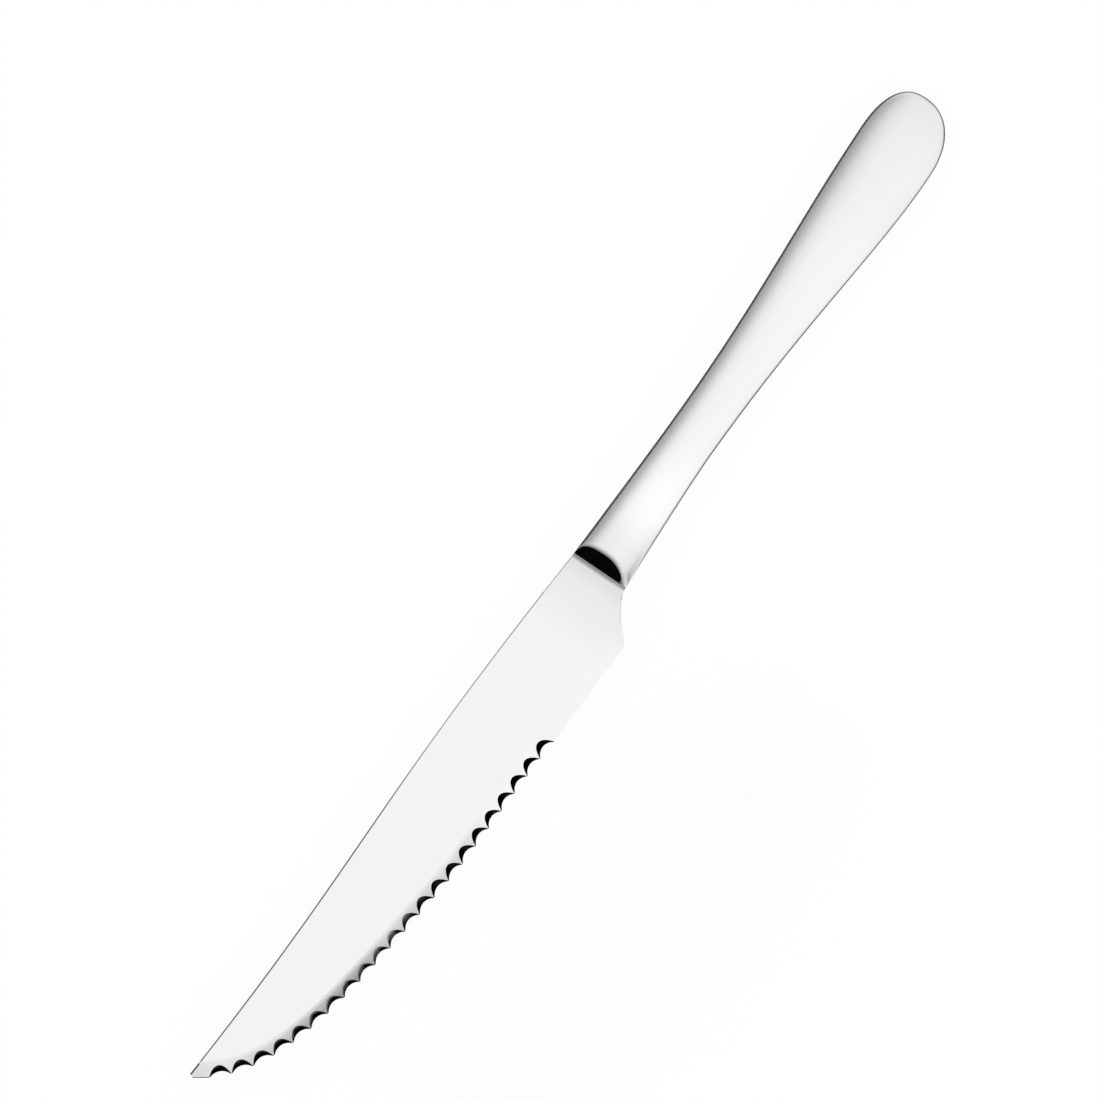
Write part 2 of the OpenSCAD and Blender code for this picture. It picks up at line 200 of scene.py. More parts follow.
def skin_z(q, end_share, side, u):
    """The height of the skin above the middle plane."""
    near = min(1.0, flare(q)) ** 2
    power = BODY_POWER + (FRONT_POWER[side] - BODY_POWER) * near
    steep = BODY_STEEP + (FRONT_STEEP[side] - BODY_STEEP) * near
    rise = max(0.0, 1 - u ** power) ** steep
    return (RIM + (half_thickness_at(q) - RIM) * rise) * closure(end_share, PROFILE_ROUND)

crown_height = skin_z(BULGE_PLACE, 0.0, SPINE_SIDE, 0.0)
print("crown at the widest place %.2f mm above the middle" % (crown_height / MM))

# %% [markdown]
# At the front the skin ends where it meets the shoulder's slope, a plane that rises backwards
# from the blade. Where a curved skin meets a slanting plane isn't known beforehand, so it is
# found in rounds: from a first guess, each round asks how high the skin is there, and at what
# distance the slope has that height. The answers settle long before the last round.

# %% Where the skin meets the slope
HALF_BLADE = 0.9 * MM
SHOULDER_SLOPE = math.radians(40)
SHOULDER_SKEW = math.radians(2.2)
FIRST_GUESS = 3 * MM
ROUNDS = 20

def slope_q(y, z):
    """The distance at which the slope has the height z."""
    return y * math.tan(SHOULDER_SKEW) + (z - HALF_BLADE) / math.tan(SHOULDER_SLOPE)

def front_q(side, u, low):
    """The distance at which the skin meets the slope, or its upright band at the height low."""
    q = FIRST_GUESS
    for _ in range(ROUNDS):
        z = skin_z(q, 0, side, u) if low is None else low
        q = slope_q(skin_y(q, 0, side, u), z)
    return q

def placed(q, y, z):
    """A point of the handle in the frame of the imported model."""
    return Vector((FOOT_X - q, SPINE_Y + y, MID_Z + z))

CREST_Q = front_q(SPINE_SIDE, 0.0, None)
print("crest of the shoulder %.2f mm behind its foot" % (CREST_Q / MM))

# %% [markdown]
# ## Laying a sheet over the skin
#
# Each half starts as a flat grid from `bmesh.ops.create_grid`. Its columns run across the handle
# from one rim over the crown to the other rim, and its rows run from the foot of the shoulder to
# the end of the butt. Each point of the grid is then moved to its place on the skin. One sheet
# with even rows gives cleaner reflections than many separate patches, and there is no seam to
# close. Solidify then gives it the thickness of the pressed sheet.

# %% Where the columns lie
ACROSS = 40
BAND_STEPS = 3
COLUMNS = 2 * ACROSS + 2 * BAND_STEPS

def column(i):
    """Side, share of the way out from the crown, and share of the upright band or None."""
    if i < BAND_STEPS:
        return SPINE_SIDE, 1.0, i / BAND_STEPS
    if i > COLUMNS - BAND_STEPS:
        return EDGE_SIDE, 1.0, (COLUMNS - i) / BAND_STEPS
    angle = math.pi * (i - BAND_STEPS) / (2 * ACROSS)
    side = SPINE_SIDE if angle < math.pi / 2 else EDGE_SIDE
    return side, min(1.0, abs(math.cos(angle))), None

print("columns:", COLUMNS)

# %% [markdown]
# There are four kinds of rows. Those of the slope lie on the polished shoulder, those of the
# crest round its upper edge, those of the front lead from the slanting crest to straight
# stations, and those of the skin are the stations. These crowd together towards the end of the
# butt, where the skin turns most.

# %% Where the rows lie
SLOPE_ROWS = 20
CREST_ROWS = 8
FRONT_ROWS = 10
BODY_ROWS = 92
BUTT_ROWS = 36
BUTT_CROWDING = 1.5
BUTT_SHARE = 0.998
SETTLED = CREST_Q + 7 * MM
BODY_LENGTH = BULGE_PLACE - SETTLED

rows = [("slope", k / SLOPE_ROWS, 0.0) for k in range(SLOPE_ROWS + 1)]
rows += [("crest", k / CREST_ROWS, 0.0) for k in range(1, CREST_ROWS + 1)]
rows += [("front", k, 0.0) for k in range(1, FRONT_ROWS)]
rows += [("skin", SETTLED + BODY_LENGTH * k / BODY_ROWS, 0.0) for k in range(BODY_ROWS + 1)]
for k in range(1, BUTT_ROWS + 1):
    turned = math.sin(math.pi / 2 * (1 - (1 - k / BUTT_ROWS) ** BUTT_CROWDING))
    rows.append(("skin", BULGE_PLACE + BUTT_SHARE * BUTT_LENGTH * turned, turned))
print("rows:", len(rows))

# %% [markdown]
# The shoulder is the polished slope that closes the front of the handle down to the blade. It
# is flat for most of its width, and meets the skin in a crest that polishing has rounded. At the
# edge's side the real one loses its corner and runs out softly into the blade, so there the
# rounding of the crest grows until it takes up nearly the whole slope.

# %% How far the rounding of the crest reaches
ROOT_SEAT = 0.84 * MM
RUN_OUT_START = 8.6 * MM
RUN_OUT_END = 11.4 * MM
CREST_ROUND = 0.8 * MM
CREST_SOFT = 2.2 * MM
MOST_OF_SLOPE = 0.9

def run_out(y):
    return smooth((y - RUN_OUT_START) / (RUN_OUT_END - RUN_OUT_START))

def foot_of_column(side, u, band):
    """Foot and crest of a column, its y, and the rounding's reach before and behind the crest."""
    low = None if band is None else ROOT_SEAT + (RIM - ROOT_SEAT) * band
    top_q = front_q(side, u, low)
    y = skin_y(top_q, 0, side, u)
    foot_q = slope_q(y, ROOT_SEAT)
    behind = CREST_ROUND + (CREST_SOFT - CREST_ROUND) * run_out(y)
    before = min(behind, MOST_OF_SLOPE * (top_q - foot_q))
    return foot_q, top_q, y, before, behind

print("foot of the slope %.2f mm above the middle" % (ROOT_SEAT / MM))

# %% [markdown]
# Three functions now give a point on the slope, on the skin and on the rounded crest between
# them. The lower end of the upright band is the lip of the half. It stands on the blade's root
# at the mouth, and on the weld from there on. The crest is a quadratic curve: it leaves the slope
# and joins the skin without a kink, because the sharp corner is its control point.

# %% Points on the slope, the skin and the crest
ROOT_DEPTH = 4.04 * MM
HAIR = 0.01 * MM
WELD_HEIGHT = 0.35 * MM
WELD_SHARE = 0.8

def weld_top(end_share):
    """Half the height of the weld, which gets lower with the rim towards the end of the butt."""
    return min(WELD_HEIGHT, WELD_SHARE * RIM * closure(end_share, PROFILE_ROUND))

def slope_point(foot_q, y, q):
    return placed(q, y, ROOT_SEAT + (q - foot_q) * math.tan(SHOULDER_SLOPE))

def skin_point(side, u, band, q, end_share):
    z = skin_z(q, end_share, side, u)
    if band is not None:
        rim = RIM * closure(end_share, PROFILE_ROUND)
        lip = ROOT_SEAT if q < ROOT_DEPTH - HAIR / 2 else weld_top(end_share)
        z = lip + (rim - lip) * band
    return placed(q, skin_y(q, end_share, side, u), z)

def crest_point(side, u, band, share):
    foot_q, top_q, y, before, behind = foot_of_column(side, u, band)
    start = slope_point(foot_q, y, top_q - before)
    corner = slope_point(foot_q, y, top_q)
    end = skin_point(side, u, band, top_q + behind, 0.0)
    return start * (1 - share) ** 2 + corner * 2 * share * (1 - share) + end * share ** 2

crest_top = crest_point(SPINE_SIDE, 0.0, None, 0.5).z - MID_Z
print("middle of the rounded crest %.2f mm above the middle plane" % (crest_top / MM))

# %% [markdown]
# Behind the crest the rows spread from the slanting crest to straight stations. Along the rim
# two of them have to meet the end of the blade's root, where the rim steps down from the root's
# face to the weld. They lie a hair apart there, which keeps the step square.

# %% Rows between the crest and the straight stations
ROOT_ROW = 4
ROOT_MARGIN = 0.3 * MM
RIM_PULL = 6

def front_row_q(side, u, band, k):
    _, top_q, _, _, behind = foot_of_column(side, u, band)
    start = top_q + behind
    even = start + (SETTLED - start) * k / FRONT_ROWS
    if start >= ROOT_DEPTH - ROOT_MARGIN:
        return even
    if k < ROOT_ROW:
        stepped = start + (ROOT_DEPTH - start) * k / ROOT_ROW
    elif k == ROOT_ROW:
        stepped = ROOT_DEPTH - HAIR
    else:
        past_root = (k - ROOT_ROW - 1) / (FRONT_ROWS - ROOT_ROW - 1)
        stepped = ROOT_DEPTH + (SETTLED - ROOT_DEPTH) * past_root
    return even + (stepped - even) * u ** RIM_PULL

def sheet_point(side, u, band, row):
    kind, place, end_share = row
    if kind == "slope":
        foot_q, top_q, y, before, _ = foot_of_column(side, u, band)
        return slope_point(foot_q, y, foot_q + (top_q - before - foot_q) * place)
    if kind == "crest":
        return crest_point(side, u, band, place)
    if kind == "front":
        return skin_point(side, u, band, front_row_q(side, u, band, place), 0.0)
    return skin_point(side, u, band, place, end_share)

print("straight stations from %.2f mm on" % (SETTLED / MM))

# %% [markdown]
# The grid is two units wide and long, from -1 to 1, so the place of each of its points tells its
# column and row. At the end of the butt many points come to lie in one place, and merging them
# closes the sheet there.

# %% A sheet for one half
TOUCHING = 0.0005 * MM

def half_sheet():
    bm = bmesh.new()
    last_row = len(rows) - 1
    bmesh.ops.create_grid(bm, x_segments=COLUMNS, y_segments=last_row, size=1)
    for vert in bm.verts:
        i = round((vert.co.x + 1) / 2 * COLUMNS)
        j = round((vert.co.y + 1) / 2 * last_row)
        vert.co = sheet_point(*column(i), rows[j])
    bmesh.ops.remove_doubles(bm, verts=bm.verts, dist=TOUCHING)
    return bm

print("points in the grid:", (COLUMNS + 1) * len(rows))

# %% [markdown]
# Solidify follows the direction of the faces, so these are checked first: on the upper half the
# face at the crown has to look up.
#
# The wall goes inwards from the skin. Even thickness stays off, because at the end of the butt
# many columns meet in one point, and there it would throw the inner skin far out. At the mouth
# the blade's root fills the room between the halves, so the wall thins out to the lip. Solidify
# reads that from the weights of a vertex group.

# %% Faces that look outwards, and a wall that thins out at the mouth
LIP_RISE = 1.4 * MM

def face_outwards(bm, outward):
    """Turns all the faces of an open sheet round if its outermost face looks the wrong way."""
    bmesh.ops.recalc_face_normals(bm, faces=bm.faces)
    bm.normal_update()
    far = max(bm.faces, key=lambda face: face.calc_center_median().dot(outward))
    if far.normal.dot(outward) < 0:
        bmesh.ops.reverse_faces(bm, faces=bm.faces)

def thin_at_mouth(piece):
    group = piece.vertex_groups.new(name="wall")
    for vert in piece.data.vertices:
        above_lip = abs(vert.co.z - MID_Z) - ROOT_SEAT
        at_mouth = FOOT_X - vert.co.x < ROOT_DEPTH - HAIR / 2
        share = smooth(above_lip / LIP_RISE) if at_mouth else 1.0
        group.add([vert.index], share, "REPLACE")
    return group.name

print("the wall is full %.1f mm above the lip" % (LIP_RISE / MM))

# %% [markdown]
# Every piece is finished in the same way. Its faces are shaded smooth, but a corner over a certain
# angle stays sharp, and so does the open rim of a sheet, which becomes the edge of its wall. The
# piece then rides on the knife's one body.

# %% From a bmesh to a finished piece
SHARP_CORNER = 35
THINNEST_WALL = 0.06

def finish_mesh(name, bm, wall=0.0, sharp=SHARP_CORNER):
    mesh = bpy.data.meshes.new(name)
    bm.edges.index_update()
    rims = [edge.index for edge in bm.edges if edge.is_boundary]
    bm.to_mesh(mesh)
    print("%s: %d faces" % (name, len(bm.faces)))
    bm.free()
    mesh.shade_smooth()
    mesh.set_sharp_from_angle(angle=math.radians(sharp))
    for index in rims:
        mesh.edges[index].use_edge_sharp = True
    piece = bpy.data.objects.new(name, mesh)
    bpy.context.collection.objects.link(piece)
    if wall:
        inwards = piece.modifiers.new("wall", "SOLIDIFY")
        inwards.thickness = wall
        inwards.offset = -1
        inwards.use_even_offset = False
        inwards.vertex_group = thin_at_mouth(piece)
        inwards.thickness_vertex_group = THINNEST_WALL
    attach(piece, "root")
    return piece

# %% [markdown]
# Both halves come from the same sheet, as both pressings come from mirrored dies. A matrix that
# mirrors z in the middle plane makes the lower one. Each half then takes the place of its
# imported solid.

# %% The two halves
WALL = 0.9 * MM

def handle_half(name, node, direction):
    bm = half_sheet()
    if direction < 0:
        flip = Matrix.Translation((0, 0, 2 * MID_Z)) @ Matrix.Scale(-1, 4, UP)
        bmesh.ops.transform(bm, matrix=flip, verts=bm.verts)
    face_outwards(bm, UP * direction)
    piece = finish_mesh(name, bm, wall=WALL)
    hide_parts(node)
    return piece

upper_half = handle_half("handle_half_upper", "handle_shell_upper", 1)
lower_half = handle_half("handle_half_lower", "handle_shell_lower", -1)

# %% [markdown]
# ## The seam
#
# The halves are welded along their rims, and the bead is ground flush. It is one narrow band
# that runs from the root along the spine's side, round the butt and back along the edge's side.
# A grid of two rows of faces does for it, with a point for each station of the halves, so the
# three pieces meet without a gap.

# %% The ground weld bead
WELD_DEPTH = 0.5 * MM
BEHIND_ROOT = 0.02 * MM

def seam_band():
    path = [("skin", ROOT_DEPTH + BEHIND_ROOT, 0.0)]
    path += [row for row in rows if row[0] == "skin"]
    stations = [(SPINE_SIDE, row) for row in path] + [(EDGE_SIDE, row) for row in reversed(path)]
    last = len(stations) - 1
    bm = bmesh.new()
    bmesh.ops.create_grid(bm, x_segments=last, y_segments=2, size=1)
    for vert in bm.verts:
        side, (_, q, end_share) = stations[round((vert.co.x + 1) / 2 * last)]
        vert.co = placed(q, skin_y(q, end_share, side, 1.0), weld_top(end_share) * round(vert.co.y))
    bmesh.ops.remove_doubles(bm, verts=bm.verts, dist=TOUCHING)
    face_outwards(bm, Vector((-1, 0, 0)))
    return bm

seam = finish_mesh("seam_band", seam_band(), wall=WELD_DEPTH)
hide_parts("seam_weld")

# %% [markdown]
# ## The blade
#
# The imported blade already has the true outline, the bevels and the ground scallops. Its long
# edges are perfectly sharp, though, and a real blade is buffed, so a copy gets a fine rounding
# along the spine, the choil and the heel. It is that rounding which draws the thin grey line
# round the blade in the photograph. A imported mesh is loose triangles, so its points are merged
# and the triangles of each flat face joined first, and the rounding runs along clean edges.

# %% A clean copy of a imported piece
def clean_copy(node, flat_angle):
    """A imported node's mesh with its flat faces whole. The angle, in degrees, says what is flat."""
    bm = bmesh.new()
    bm.from_mesh(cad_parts[node].data)
    loose = len(bm.faces)
    flat = math.radians(flat_angle)
    bmesh.ops.remove_doubles(bm, verts=bm.verts, dist=TOUCHING)
    bmesh.ops.dissolve_limit(bm, angle_limit=flat, verts=bm.verts, edges=bm.edges)
    bm.normal_update()
    print("%s: %d triangles joined into %d faces" % (node, loose, len(bm.faces)))
    return bm

# %% [markdown]
# An edge to round lies between an upright side of the blade and one of its level faces. At the
# nose the bevel has thinned the blade, so the edge there lies lower and beside a face that leans
# a little. The teeth stay sharp.

# %% Which edges of the blade are rounded
NEAR_FOOT = FOOT_X + 0.4 * MM
NOSE_START = FOOT_X + 115 * MM
UPRIGHT = 0.05
LEVEL = 0.99
LEANING = 0.9

def edges_to_round(bm):
    """The long edges of the two level faces, and the edges of the bevels at the nose."""
    low = min(vert.co.z for vert in bm.verts)
    top = max(vert.co.z for vert in bm.verts)
    level_heights = ({0.0}, {round((top - low) / MM, 2)})
    long_edges = []
    nose_edges = []
    for edge in bm.edges:
        if len(edge.link_faces) != 2:
            continue
        heights = {round((vert.co.z - low) / MM, 2) for vert in edge.verts}
        on_level = heights in level_heights
        middle_x = (edge.verts[0].co.x + edge.verts[1].co.x) / 2
        side, face = sorted(abs(face.normal.z) for face in edge.link_faces)
        if on_level and side < UPRIGHT and face > LEVEL and middle_x > NEAR_FOOT:
            long_edges.append(edge)
        if not on_level and side < UPRIGHT and face > LEANING and middle_x > NOSE_START:
            nose_edges.append(edge)
    return long_edges, nose_edges

print("the nose starts %.1f mm before the tip" % ((blade_high[0] - NOSE_START) / MM))

# %% [markdown]
# `bmesh.ops.bevel` makes the roundings. Where the nose is thick its edges get a little more than
# the spine, and where the bevel has made it thin they get less, so that the rounding has room.
# The angles in this cell are in degrees.

# %% The buffed blade
EDGE_ROUND = 0.25 * MM
EDGE_STEPS = 4
NOSE_ROUND = 0.32 * MM
THIN_NOSE_ROUND = 0.15 * MM
NOSE_STEPS = 3
THICK_NOSE = 0.25 * MM
BLADE_FLAT = 0.02
BLADE_SHARP = 12

def round_off(bm, edges, size, segments, clamp=False):
    bmesh.ops.bevel(bm, geom=edges, offset=size, offset_type="OFFSET", segments=segments,
                    profile=0.5, affect="EDGES", clamp_overlap=clamp, material=-1)

def is_thick(edge):
    return abs((edge.verts[0].co.z + edge.verts[1].co.z) / 2 - MID_Z) > THICK_NOSE

def buffed_blade():
    bm = clean_copy("blade", BLADE_FLAT)
    long_edges, nose_edges = edges_to_round(bm)
    print("long edges rounded:", len(long_edges))
    round_off(bm, long_edges, EDGE_ROUND, EDGE_STEPS)
    for size, thick in ((NOSE_ROUND, True), (THIN_NOSE_ROUND, False)):
        part = [edge for edge in nose_edges if edge.is_valid and is_thick(edge) == thick]
        round_off(bm, part, size, NOSE_STEPS)
        print("nose edges rounded:", len(part))
    bmesh.ops.remove_doubles(bm, verts=bm.verts, dist=TOUCHING)
    bmesh.ops.recalc_face_normals(bm, faces=bm.faces)
    return bm

blade = finish_mesh("buffed_blade", buffed_blade(), sharp=BLADE_SHARP)
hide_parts("blade")

# %% [markdown]
# ## The solder
#
# The solder that closes the mouth draws the thin grey line between the blade and the black
# shoulder. Real solder draws up into the corner in a hollow curve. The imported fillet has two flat
# facets that meet in a hollow edge, so a copy gets that edge rounded.

# %% The solder fillets with a rounded hollow
HOLLOW_ROUND = 0.26 * MM
HOLLOW_STEPS = 5
SOLDER_FLAT = 1
MOSTLY_ACROSS = 0.9
LOOKING_UP = 0.2

def rounded_solder():
    bm = clean_copy("blade_solder", SOLDER_FLAT)
    hollow = []
    for edge in bm.edges:
        if len(edge.link_faces) == 2 and not edge.is_convex:
            way = (edge.verts[1].co - edge.verts[0].co).normalized()
            steepest = min(abs(face.normal.z) for face in edge.link_faces)
            if abs(way.y) > MOSTLY_ACROSS and steepest > LOOKING_UP:
                hollow.append(edge)
    round_off(bm, hollow, HOLLOW_ROUND, HOLLOW_STEPS, clamp=True)
    print("hollow edges:", len(hollow))
    return bm

solder = finish_mesh("rounded_solder", rounded_solder())
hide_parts("blade_solder")

# %% [markdown]
# ## Helpers for the finishes
#
# A finish is a tree of shader nodes. Each helper adds a node or two to a tree and returns the
# output that the next one reads, so a finish can be written from its causes to its look. The
# first ones make the material and set or link a socket. A Mix node has sockets for numbers and
# for colours side by side, which only their place tells apart, so the places get names.

# %% A new material, and sockets that are set or linked
SHADER = "Principled BSDF"
MIX_SHARE = 0
NUMBERS = (2, 3)
COLOURS = (6, 7)
MIXED_NUMBER = 0
MIXED_COLOUR = 2

def new_material(name, metallic=1.0):
    material = bpy.data.materials.new(name)
    material.use_nodes = True
    tree = material.node_tree
    tree.nodes[SHADER].inputs["Metallic"].default_value = metallic
    return material, tree

def put(tree, socket, value):
    """Gives a socket a number, a colour, or the output of another node."""
    if isinstance(value, float):
        socket.default_value = value
    elif isinstance(value, tuple):
        socket.default_value = (*value, 1)
    else:
        tree.links.new(value, socket)

def set_finish(material, colour, roughness):
    tree = material.node_tree
    tree.links.new(colour, tree.nodes[SHADER].inputs["Base Color"])
    tree.links.new(roughness, tree.nodes[SHADER].inputs["Roughness"])
    print("%s: %d nodes" % (material.name, len(tree.nodes)))

print("places of a Mix node's sockets for numbers and colours:", NUMBERS, COLOURS)

# %% [markdown]
# The next helpers mix two colours or two numbers, reckon with numbers, and map a value from one
# range to another.

# %% Mixing, reckoning and mapping
def blend_colours(tree, kind, first, second, share=1.0):
    mix = tree.nodes.new("ShaderNodeMix")
    mix.data_type = "RGBA"
    mix.blend_type = kind
    put(tree, mix.inputs[MIX_SHARE], share)
    put(tree, mix.inputs[COLOURS[0]], first)
    put(tree, mix.inputs[COLOURS[1]], second)
    return mix.outputs[MIXED_COLOUR]

def blend_numbers(tree, first, second, share):
    mix = tree.nodes.new("ShaderNodeMix")
    put(tree, mix.inputs[MIX_SHARE], share)
    put(tree, mix.inputs[NUMBERS[0]], first)
    put(tree, mix.inputs[NUMBERS[1]], second)
    return mix.outputs[MIXED_NUMBER]

def reckon(tree, kind, first, second=0.0):
    maths = tree.nodes.new("ShaderNodeMath")
    maths.operation = kind
    put(tree, maths.inputs[0], first)
    put(tree, maths.inputs[1], second)
    return maths.outputs["Value"]

def map_range(tree, value, start, end, low, high, kind="LINEAR"):
    span = tree.nodes.new("ShaderNodeMapRange")
    span.interpolation_type = kind
    for name, number in (("From Min", start), ("From Max", end), ("To Min", low), ("To Max", high)):
        span.inputs[name].default_value = number
    tree.links.new(value, span.inputs["Value"])
    return span.outputs["Result"]

# %% [markdown]
# A noise that is stretched along one axis stands for scratches: a high scale means many changes
# to the metre, and a low one long streaks. The noise is nearly always between a quarter and
# three quarters, and `spread` brings that to two levels. `fine_bump` lets it stand out by a
# fraction of a micrometre, which the light sees as grain.

# %% Fine grain
NOISE_LOW = 0.25
NOISE_HIGH = 0.75
NOISE_DETAIL = 3.0

def stretched_noise(tree, stretch):
    place = tree.nodes.new("ShaderNodeTexCoord")
    mapping = tree.nodes.new("ShaderNodeMapping")
    mapping.inputs["Scale"].default_value = stretch
    noise = tree.nodes.new("ShaderNodeTexNoise")
    noise.inputs["Scale"].default_value = 1.0
    noise.inputs["Detail"].default_value = NOISE_DETAIL
    tree.links.new(place.outputs["Object"], mapping.inputs["Vector"])
    tree.links.new(mapping.outputs["Vector"], noise.inputs["Vector"])
    return noise.outputs["Fac"]

def spread(tree, value, low, high):
    return map_range(tree, value, NOISE_LOW, NOISE_HIGH, low, high)

def fine_bump(tree, value, height, strength=1.0):
    bump = tree.nodes.new("ShaderNodeBump")
    bump.inputs["Distance"].default_value = height
    put(tree, bump.inputs["Strength"], strength)
    tree.links.new(value, bump.inputs["Height"])
    tree.links.new(bump.outputs["Normal"], tree.nodes[SHADER].inputs["Normal"])

print("the noise is spread out from %.2f to %.2f" % (NOISE_LOW, NOISE_HIGH))

# %% [markdown]
# Many of the steel's greys are painted to change slowly along the knife. These changes are painted
# shade and painted reflection, and on the solder painted light as well, where the steel would look
# darker or lighter for what it mirrors. Such a change is a row of places with a level each, and a
# Color Ramp goes from one to the next. The places are in millimetres from the foot of the shoulder,
# from the line of the spine or from the middle plane, so they can be read off the knife with a
# ruler.

# %% Tones that change from place to place
def tone_ramp(tree, value, places, kind="EASE"):
    """A grey that follows a value. The places are pairs of a value and the level there."""
    first = places[0][0]
    last = places[-1][0]
    ramp = tree.nodes.new("ShaderNodeValToRGB")
    ramp.color_ramp.interpolation = kind
    stops = ramp.color_ramp.elements
    while len(stops) < len(places):
        stops.new(0.5)
    for stop, (place, level) in zip(stops, places):
        stop.position = (place - first) / (last - first)
        stop.color = (level, level, level, 1)
    tree.links.new(map_range(tree, value, first, last, 0.0, 1.0), ramp.inputs["Fac"])
    return ramp.outputs["Color"]

def coordinate(tree, axis):
    place = tree.nodes.new("ShaderNodeTexCoord")
    parts = tree.nodes.new("ShaderNodeSeparateXYZ")
    tree.links.new(place.outputs["Object"], parts.inputs["Vector"])
    return parts.outputs[axis]

def tone_along(tree, axis, origin, places):
    """A tone along X or Y, with places in millimetres from the origin."""
    from_origin = [(origin + place * MM, level) for place, level in places]
    return tone_ramp(tree, coordinate(tree, axis), from_origin)

def tone_off_middle(tree, places):
    """A tone by the distance above or below the middle plane, in millimetres."""
    height = reckon(tree, "SUBTRACT", coordinate(tree, "Z"), MID_Z)
    off_middle = reckon(tree, "ABSOLUTE", height)
    return tone_ramp(tree, off_middle, [(place * MM, level) for place, level in places])

def attribute(tree, name):
    """What a piece's own attribute says at each of its points."""
    stored = tree.nodes.new("ShaderNodeAttribute")
    stored.attribute_name = name
    return stored.outputs["Fac"]

# %% [markdown]
# ## The handle's satin
#
# The handle is brushed lengthwise: thousands of fine, shallow scratches that run with the
# knife. They are too fine to see one by one, but they spread the reflections, so they go into
# the roughness and into a very low bump. The polished shoulder belongs to the same steel and the
# same mesh. The attribute "polish" says where it is, and there the roughness goes down to that of
# a mirror and the bump goes away.

# %% The handle's satin, with its polished shoulder
BRUSHED = (90, 5200, 5200)
HANDLE_CLOUDS = (60, 160, 160)
HANDLE_STEEL = ((0.91, 0.91, 0.915), (0.93, 0.93, 0.935))
# The handle's grey is painted darker at the shoulder and round the butt: painted shade where the
# skin turns from the light.
HANDLE_PAINTED_SHADE = [(-105, 0.86), (-92, 0.9), (-68, 0.94), (-36, 0.93), (-15, 1.0), (-6, 0.88),
               (0, 0.82)]
HANDLE_SATIN = (0.28, 0.36)
HANDLE_GRAIN = 0.0004 * MM
MIRROR = 0.06

def handle_satin():
    material, tree = new_material("handle_satin")
    streaks = stretched_noise(tree, BRUSHED)
    clouds = stretched_noise(tree, HANDLE_CLOUDS)
    polish = attribute(tree, "polish")
    steel = blend_colours(tree, "MIX", *HANDLE_STEEL, clouds)
    colour = blend_colours(tree, "MULTIPLY", steel, tone_along(tree, "X", FOOT_X, HANDLE_PAINTED_SHADE))
    satin_roughness = spread(tree, streaks, *HANDLE_SATIN)
    fine_bump(tree, streaks, HANDLE_GRAIN, reckon(tree, "SUBTRACT", 1.0, polish))
    set_finish(material, colour, blend_numbers(tree, satin_roughness, MIRROR, polish))
    return material

satin = handle_satin()
for half in (upper_half, lower_half):
    half.data.materials.append(satin)

# %% [markdown]
# The polish covers the slope up to its crest and ends a little before the edge's side in a
# rounded outline, where the buffing wheel ran out. How far a point is behind the slope's plane
# tells whether it is on the slope, and a distance to an oval makes the rounded end. The values are
# stored on the points of the mesh, so the pattern stays on the piece in every view.

# %% Where the shoulder is polished
ON_SLOPE = 0.03 * MM
POLISH_FADE = 0.35 * MM
POLISH_TURN = 8.2 * MM
POLISH_END = 10.0 * MM
POLISH_MIDDLE = 2.2 * MM
POLISH_HALF = 1.7 * MM
OVAL_START = 0.85
OVAL_FADE = 0.3

def polish_at(y, z, q):
    on_slope = 1 - smooth((q - slope_q(y, z) - ON_SLOPE) / POLISH_FADE)
    if y <= POLISH_TURN:
        return on_slope
    past = (y - POLISH_TURN) / (POLISH_END - POLISH_TURN)
    off_middle = (z - POLISH_MIDDLE) / POLISH_HALF
    return on_slope * (1 - smooth((past ** 2 + off_middle ** 2 - OVAL_START) / OVAL_FADE))

def mark_polish(piece, direction):
    layer = piece.data.attributes.new("polish", "FLOAT", "POINT")
    for stored, vert in zip(layer.data, piece.data.vertices):
        height = (vert.co.z - MID_Z) * direction
        stored.value = polish_at(vert.co.y - SPINE_Y, height, FOOT_X - vert.co.x)
    polished = sum(stored.value > 0.5 for stored in layer.data)
    print("%s: %d polished points" % (piece.name, polished))

mark_polish(upper_half, 1)
mark_polish(lower_half, -1)

# %% [markdown]
# ## The blade's steel
#
# The blade has a finer satin than the handle, and its grain runs across it. Three slow changes of
# painted shade come on top: it is painted a little darker close to the handle, along the belly the
# bevels are painted darker towards the cutting edge, and the rounding of the spine and the nose is
# painted darker towards the tip, which draws its thin dark line. The last one has a material of its
# own, because it ends sharply at the flat face.

# %% The blade's fine satin
ACROSS_BLADE = (1400, 120, 120)
BLADE_CLOUDS = (40, 90, 90)
BLADE_STEEL = ((0.82, 0.821, 0.833), (0.84, 0.841, 0.853))
BLADE_SATIN = (0.17, 0.22)
BLADE_GRAIN = 0.0003 * MM
# The blade is painted darker next to the shoulder: painted shade and reflection of the dark
# shoulder.
NEAR_HANDLE_PAINTED_SHADE = [(0, 0.84), (4, 0.93), (14, 1.0)]
# The rounding of the spine and the nose is painted darker towards the tip: painted shade that draws
# its thin dark line.
EDGE_PAINTED_SHADE = [(38, 1.0), (66, 0.34), (112, 0.34), (116, 0.2)]
# Along the belly the bevels are painted darker towards the cutting edge: painted shade and
# reflection of dark surroundings.
BELLY_PAINTED_SHADE_SHARE = [(46, 0.0), (56, 0.4), (74, 0.5), (86, 0.95), (96, 0.85), (107, 0.5), (115, 0.1)]
BEVEL_PAINTED_SHADE_SHARE = [(0.3, 1.0), (0.6, 0.75), (0.78, 0.35), (0.9, 0.0)]
BEVEL_PAINTED_SHADE = (0.3, 0.3, 0.3)

